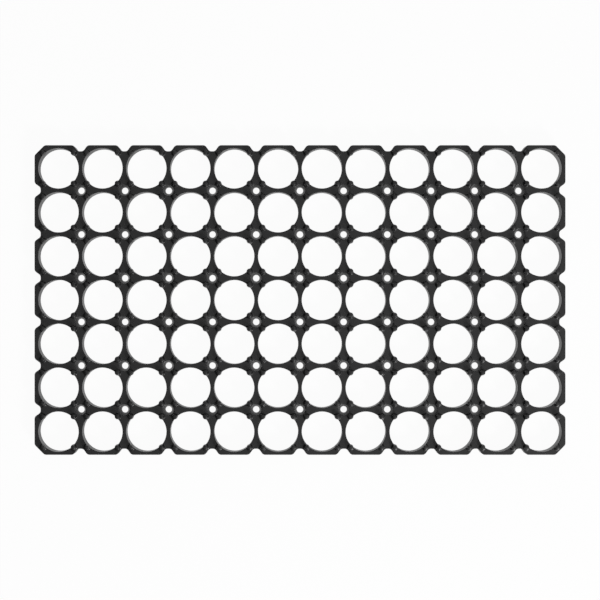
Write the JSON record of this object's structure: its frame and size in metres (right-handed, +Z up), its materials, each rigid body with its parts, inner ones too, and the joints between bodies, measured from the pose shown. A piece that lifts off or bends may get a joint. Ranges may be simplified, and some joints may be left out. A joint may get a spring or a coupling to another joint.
{
  "type": "battery cell holder bracket",
  "caption": "Flat moulded lattice plate with round sockets that hold cylindrical cells side by side, stop lugs on top and screw holes between the sockets.",
  "frame": {"origin": "middle of the underside", "axes": "+X along the long side, +Y along the short side, +Z up, toward the lugs"},
  "size_m": [0.2442, 0.1424, 0.008],
  "materials": {
    "black_plastic": "satin, lightly grained"
  },
  "bodies": {
    "root": {"cell_holder": "black_plastic"}
  },
  "joints": []
}
